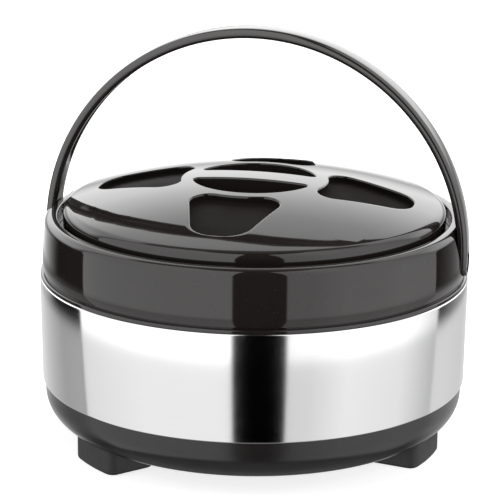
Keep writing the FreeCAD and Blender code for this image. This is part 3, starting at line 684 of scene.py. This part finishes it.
pivot_height = 109.0
arch_centre = 113.3
strap_inner = 115.0
strap_outer = 120.6
strap_thickness = strap_outer - strap_inner
strap_width = 15.0
eye_round = strap_width / 2
pocket_floor = strap_inner - play
pocket_slope = 30
eye = eye_round + play
pocket_top = rim + 5 - pivot_height
pocket_outside = 128.0
endless = 1000.0


def pocket_reach(angle):
    """How far the pocket's outline lies from the pivot, at an angle from straight up."""
    away = abs(angle)
    if away >= 90 + pocket_slope:
        return eye
    beside = eye / sin(radians(away - pocket_slope)) if away > pocket_slope else endless
    above = pocket_top / cos(radians(away)) if away < 90 else endless
    return min(beside, above)


def pocket_depth(away):
    """Where the pocket's inner face lies, at a distance from the pivot's axis."""
    bent = max(0.0, away - (arch_centre - pivot_height))
    return sqrt(pocket_floor ** 2 - bent ** 2)


# Each pocket's tool is a fan round the pivot. Its inner face follows the arch, and
# near_nothing closes both of its ends.
near_nothing = 0.001
pocket_rings = 14
drain_radius, drain_length = 1.0, 8.0
drain_reach, drain_height = collar_base - 0.5, groove_top + 2.0
for side in (1, -1):
    loops = []
    for ring in range(pocket_rings + 1):
        share = max(ring / pocket_rings, near_nothing)
        loop = []
        for angle in range(-180, 180, 3):
            away = pocket_reach(angle) * share
            loop.append((side * pocket_depth(away), away * sin(radians(angle)),
                         pivot_height + away * cos(radians(angle))))
        loops.append(loop)
    for share in (1.0, near_nothing):
        loops.append([(side * pocket_outside, y * share, pivot_height + (z - pivot_height) * share)
                      for _, y, z in loops[pocket_rings]])
    pocket = woven("bail_pocket", [(loops, True)])
    tidied(pocket)
    carved(collar, pocket)
    deselected()
    bpy.ops.mesh.primitive_cylinder_add(
        vertices=32, radius=drain_radius * millimetre, depth=drain_length * millimetre,
        rotation=(0, radians(90), 0),
        location=(side * drain_reach * millimetre, 0, drain_height * millimetre))
    carved(collar, bpy.context.object)
deselected()
collar.select_set(True)
bpy.context.view_layer.objects.active = collar
bpy.ops.object.shade_smooth_by_angle(angle=radians(32))
gloss_black = moulded_black("gloss_black", tone=(0.020, 0.016, 0.015), shine=(0.03, 0.05),
                            dust_tone=0.14)
finished(collar, "pot", "gloss_plastic", gloss_black, "collar")

# Inner bowl: deep-drawn stainless, hung by its flange on the collar's seat.
# The foam behind it was poured through the base.

bowl_low, bowl_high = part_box("inner_bowl")
bowl_top = bowl_high.z / millimetre
bowl_floor = bowl_low.z / millimetre + bowl_sheet
bowl_round = 22.0
bowl_lip = 0.7
flange_edge = bowl_radius + 3.9
middle_dot = 0.5
bowl_outline = [(middle_dot, bowl_floor - bowl_sheet)]
bowl_turn = (bowl_radius - bowl_round, bowl_floor + bowl_round)
bowl_outline += bend(bowl_turn, bowl_round + bowl_sheet, -90, 0, 16)
bowl_outline += [
    (bowl_radius + bowl_sheet, seat),
    (flange_edge, seat),
    (flange_edge, bowl_top - 0.2),
    (flange_edge - 0.2, bowl_top),
    (bowl_radius + bowl_lip, bowl_top),
]
bowl_outline += bend((bowl_radius + bowl_lip, bowl_top - bowl_lip), bowl_lip, 90, 180, 4)
bowl_outline += bend(bowl_turn, bowl_round, 0, -90, 16)
bowl_outline += [(middle_dot, bowl_floor)]
bowl = turned("steel_bowl", bowl_outline)
bowl_steel = steel("bowl_steel", tone=0.70, across=1.0, smooth=0.16, rough=0.26, bump=0.2)
finished(bowl, "pot", "bowl_steel", bowl_steel, "inner_bowl")

foam_cream, tree, output = empty_material("foam_cream")
shader = principled(tree, output)
place, axes = object_axes(tree)
cells = tree.nodes.new("ShaderNodeTexVoronoi")
cells.inputs["Scale"].default_value = 900.0
tree.links.new(place, cells.inputs["Vector"])
shade = blended(tree, noise_of(tree, place, 35.0, 4.0), (0.86, 0.78, 0.58, 1), (0.72, 0.62, 0.42, 1))
tree.links.new(shade, shader.inputs["Base Color"])
plug(tree, shader.inputs["Roughness"], between(tree, cells.outputs["Distance"], 0.75, 0.95))
plug(tree, shader.inputs["Normal"], bumped(tree, cells.outputs["Distance"], 0.5, 0.0004))
dressed("body_insulation", foam_cream)
dressed("lid_insulation", foam_cream)

# Lid cover: one gloss black moulding. Four petal-shaped recesses and a round
# finger well are sunk in its dome, and a straight bar to grip crosses the well.
# All their edges are rounded, as the mould needs.

cover_low, cover_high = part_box("lid_cover")
lid_radius = cover_high.x / millimetre
dome_top = cover_high.z / millimetre
skirt_foot = cover_low.z / millimetre
dome_crown = 16.4
edge_round = 5.5
cover_wall = 1.9
dome_curve = (lid_radius ** 2 + dome_crown ** 2) / (2 * dome_crown)
dome_heart = dome_top - dome_curve
edge_rise = sqrt((dome_curve - edge_round) ** 2 - (lid_radius - edge_round) ** 2)
dome_reach = (lid_radius - edge_round) * dome_curve / (dome_curve - edge_round)


def dome_height(across):
    """Height of the dome at a distance from the lid's axis."""
    return dome_heart + sqrt(dome_curve ** 2 - across ** 2)


def on_dome(spot, sink=0.0):
    """A point on the dome over a plan position, sunk straight down."""
    return (spot[0], spot[1], dome_height(hypot(*spot)) - sink)


def spread_line(first, last, steps):
    """Evenly spaced points of a line, without its first point."""
    return [(first[0] + (last[0] - first[0]) * step / steps,
             first[1] + (last[1] - first[1]) * step / steps) for step in range(1, steps + 1)]


def spread_arc(centre, radius, first, last, steps):
    """Evenly spaced points of an arc, without its first point."""
    return [(centre[0] + radius * cos(first + (last - first) * step / steps),
             centre[1] + radius * sin(first + (last - first) * step / steps))
            for step in range(1, steps + 1)]


def bearing_of(point, centre=(0, 0)):
    """Angle of the line from a centre to a point."""
    return atan2(point[1] - centre[1], point[0] - centre[0])


def mirrored_loop(half):
    """A closed loop from its half on the +X side, which starts and ends at x = 0."""
    return half + [(-across, away) for across, away in reversed(half[1:-1])]


def turned_loop(loop, angle):
    """The loop turned about the lid's axis."""
    return [(x * cos(angle) - y * sin(angle), x * sin(angle) + y * cos(angle)) for x, y in loop]


def grown(loop, distance):
    """The loop offset outwards in plan."""
    count = len(loop)
    area = sum(loop[i - 1][0] * loop[i][1] - loop[i][0] * loop[i - 1][1] for i in range(count))
    way = 1 if area > 0 else -1
    result = []
    for spot in range(count):
        before, after = loop[spot - 1], loop[(spot + 1) % count]
        across, away = after[0] - before[0], after[1] - before[1]
        length = hypot(across, away) or 1.0
        result.append((loop[spot][0] + way * distance * away / length,
                       loop[spot][1] - way * distance * across / length))
    return result


def merged_loops(inner, outer, steps, power=1.0):
    """Loops that change step by step from one outline to another."""
    loops = []
    for step in range(steps + 1):
        share = (step / steps) ** power
        loops.append([(a[0] + (b[0] - a[0]) * share, a[1] + (b[1] - a[1]) * share)
                      for a, b in zip(inner, outer)])
    return loops


def recess(outline, around_it, floor_of):
    """The dome round one recess, its lip, its wall, its fillet and its floor."""
    lip, fillet = 0.9, 1.0
    dome_steps, crowding, round_steps, floor_steps = 7, 1.6, 5, 8
    loops = []
    for plan in reversed(merged_loops(grown(outline, lip), around_it, dome_steps, crowding)):
        loops.append([on_dome(spot) for spot in plan])
    for step in range(1, round_steps + 1):
        angle = radians(90 * step / round_steps)
        plan = grown(outline, lip * (1 - sin(angle)))
        loops.append([on_dome(spot, lip * (1 - cos(angle))) for spot in plan])
    for step in range(round_steps + 1):
        angle = radians(90 * step / round_steps)
        plan = grown(outline, -fillet * (1 - cos(angle)))
        loops.append([(spot[0], spot[1], floor_of(spot) + fillet * (1 - sin(angle))) for spot in plan])
    rim_plan = grown(outline, -fillet)
    centre = (sum(spot[0] for spot in rim_plan) / len(rim_plan),
              sum(spot[1] for spot in rim_plan) / len(rim_plan))
    for plan in merged_loops(rim_plan, [centre] * len(rim_plan), floor_steps)[1:]:
        loops.append([(spot[0], spot[1], floor_of(spot)) for spot in plan])
    return loops


# Petal outline, with its sides rounded into the arcs at both ends
petal_inner, petal_outer = 41.3, 89.3
half_inner, half_outer = 30.5, 14.0
inner_corner, outer_corner = 9.3, 15.0
petal_depth = 4.0
hub_ring = 37.5
arc_steps, corner_steps, side_steps = 26, 12, 20
inner_end = (half_inner, sqrt(petal_inner ** 2 - half_inner ** 2))
outer_end = (half_outer, sqrt(petal_outer ** 2 - half_outer ** 2))
side_length = hypot(outer_end[0] - inner_end[0], outer_end[1] - inner_end[1])
side_way = ((outer_end[0] - inner_end[0]) / side_length, (outer_end[1] - inner_end[1]) / side_length)
side_inwards = (-side_way[1], side_way[0])


def corner_centre(rounding, distance):
    """Centre of the arc that rounds a petal's side into an arc round the lid's axis."""
    start = (inner_end[0] + side_inwards[0] * rounding, inner_end[1] + side_inwards[1] * rounding)
    along = start[0] * side_way[0] + start[1] * side_way[1]
    square = along ** 2 - (start[0] ** 2 + start[1] ** 2 - distance ** 2)
    move = -along + sqrt(square)
    return (start[0] + side_way[0] * move, start[1] + side_way[1] * move)


def side_touch(centre, rounding):
    """Where the arc of a corner meets the petal's side."""
    return (centre[0] - side_inwards[0] * rounding, centre[1] - side_inwards[1] * rounding)


def arc_touch(centre, distance):
    """Where the arc of a corner meets the arc round the lid's axis."""
    share = distance / hypot(*centre)
    return (centre[0] * share, centre[1] * share)


low_centre = corner_centre(inner_corner, petal_inner + inner_corner)
high_centre = corner_centre(outer_corner, petal_outer - outer_corner)
low_arc_end = arc_touch(low_centre, petal_inner)
side_start = side_touch(low_centre, inner_corner)
side_end = side_touch(high_centre, outer_corner)
high_arc_start = arc_touch(high_centre, petal_outer)
quarter = pi / 2
petal_half = [(0, petal_inner)]
petal_half += spread_arc((0, 0), petal_inner, quarter, bearing_of(low_arc_end), arc_steps)
petal_half += spread_arc(low_centre, inner_corner, bearing_of(low_arc_end, low_centre),
                         bearing_of(side_start, low_centre), corner_steps)
petal_half += spread_line(side_start, side_end, side_steps)
petal_half += spread_arc(high_centre, outer_corner, bearing_of(side_end, high_centre),
                         bearing_of(high_arc_start, high_centre), corner_steps)
petal_half += spread_arc((0, 0), petal_outer, bearing_of(high_arc_start), quarter, arc_steps)
sector_half = [(0, hub_ring)]
sector_half += spread_arc((0, 0), hub_ring, quarter, quarter / 2, arc_steps + corner_steps // 2)
diagonal = cos(quarter / 2)
sector_half += spread_line((hub_ring * diagonal, hub_ring * diagonal),
                           (dome_reach * diagonal, dome_reach * diagonal), side_steps + corner_steps)
sector_half += spread_arc((0, 0), dome_reach, quarter / 2, quarter, arc_steps + corner_steps // 2)

patches = []
for number in range(4):
    angle = quarter * number
    outline = turned_loop(mirrored_loop(petal_half), angle)
    sector = turned_loop(mirrored_loop(sector_half), angle)
    patches.append((recess(outline, sector, lambda spot: on_dome(spot, petal_depth)[2]), True))

# Finger well: two crescents with the bar between them
well_radius, well_depth, half_bar, well_corner = 34.5, 11.0, 9.0, 3.0
well_floor = dome_top - well_depth
crescent_corner = (sqrt((well_radius - well_corner) ** 2 - (half_bar + well_corner) ** 2),
                   half_bar + well_corner)
well_touch = bearing_of(crescent_corner)
well_steps, round_steps, bar_steps, hub_steps = 56, 16, 20, 64
crescent_half = [(0, well_radius)]
crescent_half += spread_arc((0, 0), well_radius, quarter, well_touch, well_steps)
crescent_half += spread_arc(crescent_corner, well_corner, well_touch, -quarter, round_steps)
crescent_half += spread_line((crescent_corner[0], half_bar), (0, half_bar), bar_steps)
half_disc = [(0, hub_ring)]
half_disc += spread_arc((0, 0), hub_ring, quarter, 0, hub_steps)
half_disc += spread_line((hub_ring, 0), (0, 0), well_steps + round_steps + bar_steps - hub_steps)
for number in range(2):
    outline = turned_loop(mirrored_loop(crescent_half), pi * number)
    disc = turned_loop(mirrored_loop(half_disc), pi * number)
    patches.append((recess(outline, disc, lambda spot: well_floor), True))

# Edge and skirt, from the dome's last ring down
skirt_round = 0.6
edge = [(dome_reach, dome_height(dome_reach))]
edge_end = degrees(asin(edge_rise / (dome_curve - edge_round)))
edge += bend((lid_radius - edge_round, dome_heart + edge_rise), edge_round, edge_end, 0, 12)[1:]
edge += [(lid_radius, skirt_foot + (dome_heart + edge_rise - skirt_foot) * share)
         for share in (0.75, 0.5, 0.25)]
edge += bend((lid_radius - skirt_round, skirt_foot + skirt_round), skirt_round, 0, -90, 4)
rings = []
for across, up in edge:
    rings.append([(across * cos(2 * pi * step / around), across * sin(2 * pi * step / around), up)
                  for step in range(around)])
patches.append((rings, True))
cover = woven("lid_dome", patches)
tidied(cover, holes=False)
shell = cover.modifiers.new("wall", "SOLIDIFY")
shell.thickness = cover_wall * millimetre
shell.offset = -1
bpy.ops.object.modifier_apply(modifier="wall")
bpy.ops.object.shade_smooth_by_angle(angle=radians(40))


# The recesses are duller than the dome, as the mould is textured there, and their black is painted darker
# than the dome's: painted shade in the recesses
below_lip = 1.3
near_well_floor = 0.8 * well_depth


def inside_recess(face):
    """Whether a face of the cover lies in a petal recess or on the finger well's floor."""
    middle = face.center / millimetre
    reach = hypot(middle.x, middle.y)
    sink = dome_height(reach) - middle.z
    if face.normal.z < -0.5 or reach >= petal_outer:
        return False
    return sink > (below_lip if reach > hub_ring else near_well_floor)


cover_black = moulded_black("cover_black", tone=(0.020, 0.016, 0.015), shine=(0.03, 0.05),
                            dust_tone=0.14)
# Darker base colour than the cover's black, with little specular: painted shade on the recess walls and
# floors
recess_painted_shade_black = moulded_black("recess_black_painted_shade", tone=(0.0085, 0.0065, 0.006), shine=(0.6, 0.7),
                            dust_tone=0.03, peel=0.3)
recess_painted_shade_black.node_tree.nodes["Principled BSDF"].inputs["Specular IOR Level"].default_value = 0.05
finished(cover, "lid", "gloss_plastic", cover_black, "lid_cover")
cover.data.materials.append(recess_painted_shade_black)
for face in cover.data.polygons:
    if inside_recess(face):
        face.material_index = 1

# Lid ring and liner: a satin black ring drops into the bowl's mouth and holds
# a dished disc of stainless under the lid's foam.

ring_low, ring_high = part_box("lid_ring")
plug_radius = bowl_radius - 0.6
ring_foot = ring_low.z / millimetre
ring_top = ring_high.z / millimetre
ring_seat = ring_top - 3.1
ring_hole = plug_radius - 2.2
ring_round = 0.7
ring_edge = bowl_radius + 4.6
lip_edge = ring_hole - 4.2
lip_top = ring_foot + 1.4
ring_outline = [(lip_edge, ring_foot)]
ring_outline += bend((plug_radius - ring_round, ring_foot + ring_round), ring_round, -90, 0, 5)
ring_outline += [
    (plug_radius, ring_seat),
    (ring_edge, ring_seat),
    (ring_edge, ring_top),
    (ring_hole, ring_top),
    (ring_hole, lip_top),
    (lip_edge, lip_top),
]
lid_ring = turned("liner_ring", ring_outline)
finished(lid_ring, "lid", "satin_plastic", base_black, "lid_ring")

liner_low, liner_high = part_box("lid_liner")
liner_radius = liner_high.x / millimetre
liner_foot = liner_low.z / millimetre
liner_rise = 3.0
liner_sheet = 0.7
liner_rim = 9.4
liner_slope = 3.0
above = (liner_radius - liner_rim + 0.4, liner_foot + liner_sheet)
liner_outline = [
    (middle_dot, liner_foot + liner_rise),
    (liner_radius - liner_rim - liner_slope, liner_foot + liner_rise),
    (liner_radius - liner_rim, liner_foot),
    (liner_radius, liner_foot),
    (liner_radius, liner_foot + liner_sheet),
    above,
    (above[0] - liner_slope, above[1] + liner_rise),
    (middle_dot, above[1] + liner_rise),
]
liner = turned("steel_liner", liner_outline)
finished(liner, "lid", "bowl_steel", bowl_steel, "lid_liner")

# Bail: a strap of black plastic moulded as a half circle. Its legs end in
# round eyes, and a shallow channel along the inner face saves material and
# stiffens the strap.

strap_round = 2.4
channel_half, channel_depth = 4.0, 1.5
channel_start, channel_fade = radians(20), radians(3)


def strap_section(width, channel=0.0):
    """Closed outline across the strap: (across its thickness, along its width)."""
    rounding = min(strap_round, width / 2 - 0.02)
    half_width, half_thickness = width / 2, strap_thickness / 2
    outline = []
    corners = (
        (half_thickness, half_width, 90, 0),
        (half_thickness, -half_width, 0, -90),
        (-half_thickness, -half_width, -90, -180),
    )
    for out, side, first, last in corners:
        centre = (out - rounding * (1 if out > 0 else -1), side - rounding * (1 if side > 0 else -1))
        outline += bend(centre, rounding, first, last, 5)
    reach = min(channel_half, half_width * 0.5)
    slope = reach * 0.15
    outline += [
        (-half_thickness, -reach),
        (-half_thickness + channel * 0.5, -reach + slope * 0.5),
        (-half_thickness + channel, -reach + slope),
        (-half_thickness + channel, 0.0),
        (-half_thickness + channel, reach - slope),
        (-half_thickness + channel * 0.5, reach - slope * 0.5),
        (-half_thickness, reach),
    ]
    centre = (-half_thickness + rounding, half_width - rounding)
    outline += bend(centre, rounding, -180, -270, 5)
    return outline


arch_middle = (strap_inner + strap_outer) / 2
leg = []
eye_steps, least_width = 12, 0.4
for step in range(eye_steps + 1):
    angle = quarter * step / eye_steps
    leg.append((pivot_height - eye_round * cos(angle), max(strap_width * sin(angle), least_width)))
leg.append(((pivot_height + arch_centre) / 2, strap_width))
loops = []
for up, width in leg:
    loops.append([(arch_middle + out, along, up) for out, along in strap_section(width)])
arch_steps = 144
for step in range(arch_steps + 1):
    angle = pi * step / arch_steps
    end = min(angle, pi - angle)
    share = max(0.0, min(1.0, (end - channel_start) / channel_fade))
    section = [(arch_middle + out, along) for out, along in
               strap_section(strap_width, channel_depth * share)]
    loops.append([(reach * cos(angle), along, arch_centre + reach * sin(angle))
                  for reach, along in section])
for up, width in reversed(leg):
    loops.append([(-(arch_middle + out), along, up) for out, along in strap_section(width)])
bail = woven("bail_strap", [(loops, True)])
tidied(bail)
eye_bore, bore_length = 3.06, 12.0
eye_sink, sink_depth, sink_length = 5.3, 2.0, 6.0
sink_middle = strap_outer - sink_depth + sink_length / 2
for side in (1, -1):
    for radius, length, middle in ((eye_bore, bore_length, arch_middle),
                                   (eye_sink, sink_length, sink_middle)):
        deselected()
        bpy.ops.mesh.primitive_cylinder_add(
            vertices=64, radius=radius * millimetre, depth=length * millimetre,
            rotation=(0, radians(90), 0),
            location=(side * middle * millimetre, 0, pivot_height * millimetre))
        carved(bail, bpy.context.object)
deselected()
bail.select_set(True)
bpy.context.view_layer.objects.active = bail
bpy.ops.object.shade_smooth_by_angle(angle=radians(35))
strap_black = moulded_black("strap_black", tone=(0.022, 0.018, 0.017), shine=(0.09, 0.14),
                            dust_tone=0.14)
strap_black.node_tree.nodes["Principled BSDF"].inputs["IOR"].default_value = 1.68
finished(bail, "bail", "handle_plastic", strap_black, "handle")

# Pivot studs: black studs with low domed heads, pressed into the collar's
# bosses through the eyes of the bail.

stud_core, shank, head, head_height = 0.2, 3.0, 4.9, 1.6
stud_steps = 64
for side, node in ((1, "pivot_stud_right"), (-1, "pivot_stud_left")):
    stud_low, stud_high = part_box(node)
    inner = min(abs(stud_low.x), abs(stud_high.x)) / millimetre
    outer = max(abs(stud_low.x), abs(stud_high.x)) / millimetre
    neck = outer - head_height
    outline = [(inner, stud_core), (inner, shank - 0.4), (inner + 0.4, shank), (neck, shank), (neck, head)]
    outline += [(outer - 0.9, head), (outer - 0.6, head - 0.2), (outer - 0.2, 3.2), (outer, stud_core)]
    loops = []
    for step in range(stud_steps):
        angle = 2 * pi * step / stud_steps
        loops.append([(side * across, reach * cos(angle), pivot_height + reach * sin(angle))
                      for across, reach in outline])
    loops.append(loops[0])
    stud = woven("stud_" + ("right" if side > 0 else "left"), [(loops, False)])
    tidied(stud)
    bpy.ops.object.shade_smooth_by_angle(angle=radians(35))
    finished(stud, "pot", "gloss_plastic", strap_black, node)
